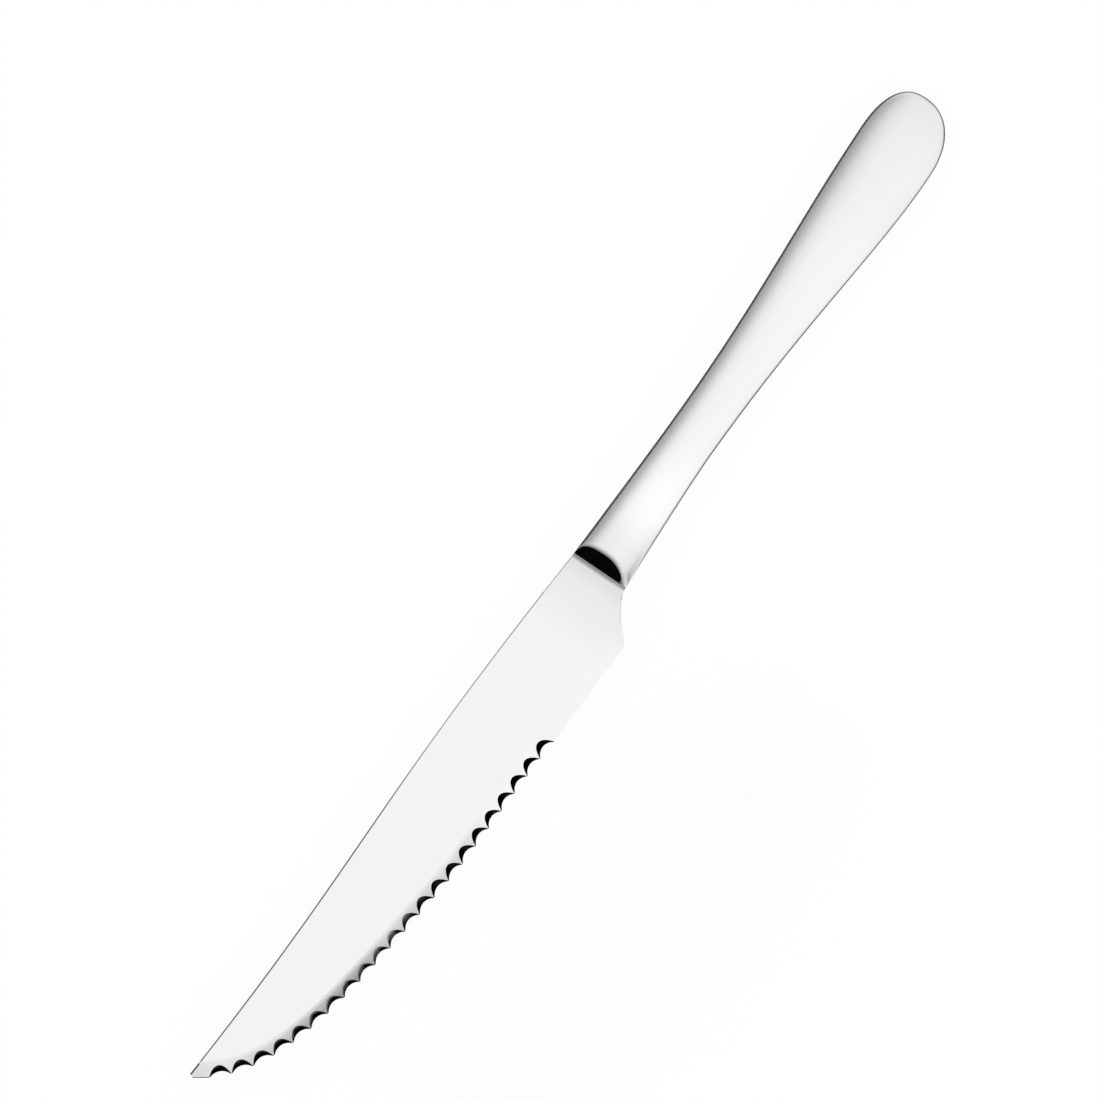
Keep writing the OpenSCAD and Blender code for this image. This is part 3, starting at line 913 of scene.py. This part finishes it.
def blade_steel(name, painted_edge_shade=False):
    material, tree = new_material(name)
    lines = stretched_noise(tree, ACROSS_BLADE)
    clouds = stretched_noise(tree, BLADE_CLOUDS)
    steel = blend_colours(tree, "MIX", *BLADE_STEEL, clouds)
    painted_shade_near_handle = tone_along(tree, "X", FOOT_X, NEAR_HANDLE_PAINTED_SHADE)
    steel = blend_colours(tree, "MULTIPLY", steel, painted_shade_near_handle)
    if painted_edge_shade:
        edge_shade = tone_along(tree, "X", FOOT_X, EDGE_PAINTED_SHADE)
        steel = blend_colours(tree, "MULTIPLY", steel, edge_shade)
    belly = tone_along(tree, "X", FOOT_X, BELLY_PAINTED_SHADE_SHARE)
    low_on_bevel = tone_off_middle(tree, BEVEL_PAINTED_SHADE_SHARE)
    share = blend_colours(tree, "MULTIPLY", belly, low_on_bevel)
    darker = blend_colours(tree, "MULTIPLY", steel, BEVEL_PAINTED_SHADE)
    colour = blend_colours(tree, "MIX", steel, darker, share)
    fine_bump(tree, lines, BLADE_GRAIN)
    set_finish(material, colour, spread(tree, lines, *BLADE_SATIN))
    return material

blade.data.materials.append(blade_steel("blade_steel"))

# %% [markdown]
# A scallop is ground by a small wheel after the blade has got its satin. The fresh cut is smoother,
# and its colour is painted nearly black: painted shade and reflection for the dark crescents it
# shows, because it looks away from the light. Its rim, where it meets the bevel, is painted paler
# towards the tip, a painted highlight, and is duller there. The attribute "rim" is 1 on the points
# of the rim and 0 inside the scallop, so it fades inwards by itself.

# %% The ground steel of the scallops, painted dark
ACROSS_SCALLOP = (9000, 700, 700)
# The scallops' steel is painted nearly black, with a real grain in it: painted shade and reflection
# for their dark crescents.
GROUND_PAINTED_DARK = ((0.11, 0.11, 0.115), (0.16, 0.16, 0.165))
# The rims of the scallops are painted pale towards the tip: a painted highlight where they turn to
# the light.
RIM_PAINTED_LIGHT = (0.8, 0.8, 0.81)
GROUND_GLOSS = (0.08, 0.14)
GROUND_GRAIN = 0.0004 * MM
RIM_ROUGHNESS = 0.5
RIM_START = 0.4
RIM_PAINTED_LIGHT_SHARE = [(64, 0.0), (80, 1.0), (90, 0.95), (102, 0.4), (118, 0.35)]
# Along the belly the painted dark of the scallops is lighter in the middle and darker at both ends:
# painted reflection.
GROUND_PAINTED_SHADE_TONE = [(67, 0.12), (77, 1.0), (84, 0.9), (92, 0.25)]

def ground_steel_painted_dark():
    material, tree = new_material("ground_steel_painted_dark")
    lines = stretched_noise(tree, ACROSS_SCALLOP)
    near_rim = map_range(tree, attribute(tree, "rim"), RIM_START, 1.0, 0.0, 1.0, "SMOOTHSTEP")
    rim_light_towards_tip = tone_along(tree, "X", FOOT_X, RIM_PAINTED_LIGHT_SHARE)
    rim_painted_light = reckon(tree, "MULTIPLY", near_rim, rim_light_towards_tip)
    dark = blend_colours(tree, "MIX", *GROUND_PAINTED_DARK, lines)
    dark = blend_colours(tree, "MULTIPLY", dark, tone_along(tree, "X", FOOT_X, GROUND_PAINTED_SHADE_TONE))
    colour = blend_colours(tree, "MIX", dark, RIM_PAINTED_LIGHT, rim_painted_light)
    gloss = spread(tree, lines, *GROUND_GLOSS)
    fine_bump(tree, lines, GROUND_GRAIN)
    set_finish(material, colour, blend_numbers(tree, gloss, RIM_ROUGHNESS, rim_painted_light))
    return material

blade.data.materials.append(ground_steel_painted_dark())
blade.data.materials.append(blade_steel("blade_edge_steel", painted_edge_shade=True))

# %% [markdown]
# Which finish a face of the blade has is told by where it is and which way it looks. A ground
# face looks up and aside and lies among the teeth. A rounding lies on the spine's side or round
# the nose and isn't level. The flat faces stay flat shaded, so the smooth roundings can't bend
# the light on them.

# %% Which finish each face of the blade has
SATIN_FACE = 0
GROUND_FACE = 1
ROUNDED_FACE = 2
TEETH_START = FOOT_X + 28 * MM
TEETH_SIDE = SPINE_Y + 2.4 * MM
LEVEL_ENOUGH = 0.93
NEARLY_LEVEL = 0.995
QUITE_LEVEL = 0.9999
TO_THE_TIP = 0.2

def finish_of(face):
    up = face.normal.z
    among_teeth = face.center.x > TEETH_START and face.center.y > TEETH_SIDE
    if among_teeth and UPRIGHT < up < LEVEL_ENOUGH:
        return GROUND_FACE
    past_nose = face.center.x > NOSE_START and face.normal.x > TO_THE_TIP
    if past_nose and abs(up) < LEANING:
        return ROUNDED_FACE
    if face.normal.y < -UPRIGHT and abs(up) < NEARLY_LEVEL:
        return ROUNDED_FACE
    return SATIN_FACE

for face in blade.data.polygons:
    face.material_index = finish_of(face)
    face.use_smooth = abs(face.normal.z) < QUITE_LEVEL
finishes = [face.material_index for face in blade.data.polygons]
print("satin faces:", finishes.count(SATIN_FACE))
print("ground faces:", finishes.count(GROUND_FACE))
print("rounded faces:", finishes.count(ROUNDED_FACE))

# %% [markdown]
# The rim of a scallop is where a ground face shares a point with a level face or a bevel. Those
# points get the number 1.

# %% Where the rims of the scallops get their painted light
def mark_rims(piece):
    layer = piece.data.attributes.new("rim", "FLOAT", "POINT")
    ground = set()
    around = set()
    for face in piece.data.polygons:
        if face.material_index == GROUND_FACE:
            ground.update(face.vertices)
        if face.normal.z > LEVEL_ENOUGH:
            around.update(face.vertices)
    for i in ground & around:
        layer.data[i].value = 1.0
    print("points on the rims:", len(ground & around))

mark_rims(blade)

# %% [markdown]
# ## The weld, the solder and the cement
#
# The weld is ground flush and brushed with the handle, so it has the same streaks and is only a
# little darker.

# %% The weld's satin
WELD_STEEL = (0.84, 0.84, 0.845)
WELD_BRIGHTER = 1.04
WELD_SATIN = (0.32, 0.4)

def weld_satin():
    material, tree = new_material("weld_satin")
    streaks = stretched_noise(tree, BRUSHED)
    bright = tuple(part * WELD_BRIGHTER for part in WELD_STEEL)
    colour = blend_colours(tree, "MIX", WELD_STEEL, bright, streaks)
    set_finish(material, colour, spread(tree, streaks, *WELD_SATIN))
    return material

seam.data.materials.append(weld_satin())

# %% [markdown]
# The solder is softer than the steel and duller. It is grey under the polished shoulder, painted
# brighter at the edge's side, a painted light where it runs out into the blade, and painted brighter
# low down than high up, a painted shade under the shoulder.

# %% The solder's grey
SOLDER_GREY = ((0.78, 0.78, 0.79), (0.82, 0.82, 0.83))
SOLDER_SATIN = (0.45, 0.55)
# The solder's grey is painted lighter at the edge's side and darker high up under the shoulder:
# painted light and painted shade.
SOLDER_PAINTED_LIGHT_ACROSS = [(8.2, 0.95), (10.2, 1.1)]
SOLDER_PAINTED_SHADE_BY_HEIGHT = [(0.92, 1.25), (1.02, 1.1), (1.15, 0.85)]

def solder_grey():
    material, tree = new_material("solder_grey")
    grain = stretched_noise(tree, BRUSHED)
    steel = blend_colours(tree, "MIX", *SOLDER_GREY, grain)
    painted_light_across = tone_along(tree, "Y", SPINE_Y, SOLDER_PAINTED_LIGHT_ACROSS)
    painted_shade_by_height = tone_off_middle(tree, SOLDER_PAINTED_SHADE_BY_HEIGHT)
    tone = blend_colours(tree, "MULTIPLY", painted_light_across, painted_shade_by_height)
    colour = blend_colours(tree, "MULTIPLY", steel, tone)
    set_finish(material, colour, spread(tree, grain, *SOLDER_SATIN))
    return material

solder.data.materials.append(solder_grey())

# %% [markdown]
# The cement is pale and dull, and is seen only when the handle is cut open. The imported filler
# keeps its shape, and only its material is new.

# %% The cement inside the handle
CEMENT_GRAINS = (900, 900, 900)
CEMENT_COLOURS = ((0.62, 0.56, 0.46), (0.76, 0.70, 0.60))
CEMENT_ROUGHNESS = (0.8, 0.95)

def set_cement():
    material, tree = new_material("set_cement", metallic=0.0)
    grains = stretched_noise(tree, CEMENT_GRAINS)
    colour = blend_colours(tree, "MIX", *CEMENT_COLOURS, grains)
    set_finish(material, colour, spread(tree, grains, *CEMENT_ROUGHNESS))
    return material

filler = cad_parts["handle_filler"].data
filler.materials.clear()
filler.materials.append(set_cement())

# %% [markdown]
# ## The studio
#
# Steel shows what is around it. White satin with dark outlines comes from a bright tent that has
# dark things low down, close to the table: the flat faces look up into the white, and only the steep
# sides, the polished shoulder and the scallops look out to the dark. The dark things are a black
# card past the tip, a low card beside the teeth, and a painted shadow on the table close to the
# knife. The camera sees nothing of that dark.

# %% The table
TABLE_SIZE = 8

def plain_sheet(name, size_x, size_y, matrix, colour):
    bm = bmesh.new()
    bmesh.ops.create_grid(bm, x_segments=1, y_segments=1, size=0.5)
    bmesh.ops.scale(bm, vec=(size_x, size_y, 1), verts=bm.verts)
    bmesh.ops.transform(bm, matrix=matrix, verts=bm.verts)
    mesh = bpy.data.meshes.new(name)
    bm.to_mesh(mesh)
    bm.free()
    material, tree = new_material(name, metallic=0.0)
    shader = tree.nodes[SHADER]
    shader.inputs["Roughness"].default_value = 1.0
    shader.inputs["Specular IOR Level"].default_value = 0.0
    shader.inputs["Base Color"].default_value = (*colour, 1)
    mesh.materials.append(material)
    board = bpy.data.objects.new(name, mesh)
    bpy.context.collection.objects.link(board)
    print("%s: %.0f by %.0f mm" % (name, size_x / MM, size_y / MM))
    return board

table = plain_sheet("table", TABLE_SIZE, TABLE_SIZE, Matrix.Identity(4), (1, 1, 1))

# %% [markdown]
# Light Path tells what kind of ray has met the table. The camera's own rays see it mostly as plain
# white, with a trace of the knife's shadow. The rays that the steel reflects see a white table with
# a painted shadow close to the knife, an emission that is darker there: wide on the spine's side and
# beside the teeth, and only a few millimetres wide along the handle's edge side and behind the butt.

# %% What the camera and the steel see of the table
CAMERA_SHARE = 0.95
# The table's darkness close to the knife is a painted shadow, an emission that only the steel's
# reflections see.
DARKEST = 0.06
EDGE_SIDE_DARK = (9 * MM, 22 * MM)
SPINE_SIDE_DARK = (-55 * MM, -100 * MM)
BUTT_DARK = (-115 * MM, -125 * MM)
TEETH_DARK = (-4 * MM, 30 * MM)
TEETH_REACH = 80 * MM

def mix_shaders(tree, share, first, second):
    mix = tree.nodes.new("ShaderNodeMixShader")
    tree.links.new(share, mix.inputs["Fac"])
    tree.links.new(first, mix.inputs[1])
    tree.links.new(second, mix.inputs[2])
    return mix.outputs["Shader"]

def dark_to_white(tree, value, reach):
    return map_range(tree, value, *reach, DARKEST, 1.0, "SMOOTHSTEP")

def table_with_painted_shadow(tree):
    x = coordinate(tree, "X")
    y = coordinate(tree, "Y")
    wider_at_teeth = map_range(tree, x, *TEETH_DARK, 0.0, TEETH_REACH, "SMOOTHSTEP")
    past_edge = reckon(tree, "SUBTRACT", y, wider_at_teeth)
    edge_side = dark_to_white(tree, past_edge, EDGE_SIDE_DARK)
    spine_side = dark_to_white(tree, y, SPINE_SIDE_DARK)
    butt_end = dark_to_white(tree, x, BUTT_DARK)
    both_sides = reckon(tree, "MAXIMUM", edge_side, spine_side)
    white = tree.nodes.new("ShaderNodeEmission")
    # This emission carries the painted shadow round the knife.
    painted_shadow = tree.nodes.new("ShaderNodeEmission")
    tree.links.new(reckon(tree, "MAXIMUM", both_sides, butt_end), painted_shadow.inputs["Strength"])
    ray = tree.nodes.new("ShaderNodeLightPath")
    camera_share = reckon(tree, "MULTIPLY", ray.outputs["Is Camera Ray"], CAMERA_SHARE)
    surface = tree.nodes[SHADER].outputs["BSDF"]
    surface = mix_shaders(tree, camera_share, surface, white.outputs["Emission"])
    surface = mix_shaders(tree, ray.outputs["Is Glossy Ray"], surface, painted_shadow.outputs["Emission"])
    tree.links.new(surface, tree.nodes["Material Output"].inputs["Surface"])

table_with_painted_shadow(table.data.materials[0].node_tree)
print("nodes of the table:", len(table.data.materials[0].node_tree.nodes))

# %% [markdown]
# The black card past the tip is what the polished shoulder mirrors. The card beside the teeth is
# low and close, and gives the scallops their dark crescents. Its middle is grey, because the
# crescents of the belly are paler in the photograph. Its tones have their places in millimetres
# along X from the middle of the knife.

# %% The cards
BLACK = 0.003
GREY = 0.5
TIP_CARD = {"azimuth": 0, "distance": 0.45, "width": 0.7, "height": 0.26, "beside": 0.0}
TEETH_CARD = {"azimuth": 90, "distance": 0.045, "width": 0.22, "height": 0.018, "beside": -0.1}
CARD_TONE = [(-10, BLACK), (44, BLACK), (66, GREY), (78, GREY), (98, BLACK), (210, BLACK)]

def card(name, azimuth, distance, width, height, beside):
    """A black card that stands on the table, seen from the middle of the knife at the azimuth."""
    angle = math.radians(azimuth)
    way = Vector((math.cos(angle), math.sin(angle), 0))
    across = Vector((-way.y, way.x, 0))
    middle = way * distance + across * beside + UP * height / 2
    upright = Matrix((across, UP, across.cross(UP))).transposed().to_4x4()
    board = plain_sheet(name, width, height, Matrix.Translation(middle) @ upright, (BLACK,) * 3)
    board.visible_camera = False
    return board

card("card_at_the_tip", **TIP_CARD)
near_card = card("card_at_the_teeth", **TEETH_CARD)
card_tree = near_card.data.materials[0].node_tree
card_tone = tone_along(card_tree, "X", 0.0, CARD_TONE)
card_tree.links.new(card_tone, card_tree.nodes[SHADER].inputs["Base Color"])

# %% [markdown]
# The tent is brightest on the edge's side and overhead, and falls off towards the spine's side.
# That gives the handle its long soft shade along the spine. It falls off low at the tip's end as
# well, which draws the soft grey rim round the polished shoulder. Only the reflections see it.
# Every other ray meets plain white.

# %% The tent
TENT_STRENGTH = 1.08
TO_SPINE = Vector((0.08, -1, 0))
TO_TIP = Vector((1, 0, 0))
SPINE_FALL = [(-1.0, 1.0), (0.0, 0.97), (0.17, 0.93), (0.31, 0.86), (0.5, 0.71), (0.64, 0.56),
              (0.82, 0.46), (1.0, 0.36)]
TIP_FALL = [(-1.0, 1.0), (0.36, 1.0), (0.6, 0.64), (0.8, 0.33), (0.93, 0.12), (1.0, 0.05)]

world = bpy.data.worlds.new("tent")
bpy.context.scene.world = world
world.use_nodes = True
sky = world.node_tree

def fall_towards(direction, steps):
    """The tent's level by how far a ray leans to a direction, from -1, away, to 1, towards it."""
    way = sky.nodes.new("ShaderNodeTexCoord")
    lean = sky.nodes.new("ShaderNodeVectorMath")
    lean.operation = "DOT_PRODUCT"
    lean.inputs[1].default_value = direction.normalized()
    sky.links.new(way.outputs["Generated"], lean.inputs[0])
    return tone_ramp(sky, lean.outputs["Value"], steps, "LINEAR")

spine_fall = fall_towards(TO_SPINE, SPINE_FALL)
tip_fall = fall_towards(TO_TIP, TIP_FALL)
tent = sky.nodes["Background"]
tent.inputs["Strength"].default_value = TENT_STRENGTH
sky.links.new(blend_colours(sky, "MULTIPLY", spine_fall, tip_fall), tent.inputs["Color"])
plain = sky.nodes.new("ShaderNodeBackground")
plain.inputs["Color"].default_value = (1, 1, 1, 1)
plain.inputs["Strength"].default_value = 1.0
reflected = sky.nodes.new("ShaderNodeLightPath").outputs["Is Glossy Ray"]
seen = mix_shaders(sky, reflected, plain.outputs["Background"], tent.outputs["Background"])
sky.links.new(seen, sky.nodes["World Output"].inputs["Surface"])
print("nodes of the tent:", len(sky.nodes))

# %% [markdown]
# A large softbox overhead adds a faint direction to the light. The view transform Standard shows
# colours as they are written.

# %% The softbox and the view
SOFTBOX_SIZE = 2.2
SOFTBOX_WATTS = 0.6
SOFTBOX_PLACE = Vector((0.1, 0.2, 2.0))

lamp_data = bpy.data.lights.new("softbox", "AREA")
lamp_data.shape = "SQUARE"
lamp_data.size = SOFTBOX_SIZE
lamp_data.energy = SOFTBOX_WATTS
lamp = bpy.data.objects.new("softbox", lamp_data)
lamp.location = SOFTBOX_PLACE
lamp.rotation_euler = (-SOFTBOX_PLACE).to_track_quat("-Z", "Y").to_euler()
bpy.context.collection.objects.link(lamp)

bpy.context.scene.view_settings.view_transform = "Standard"
print("softbox %.1f m wide, %.1f W" % (SOFTBOX_SIZE, SOFTBOX_WATTS))
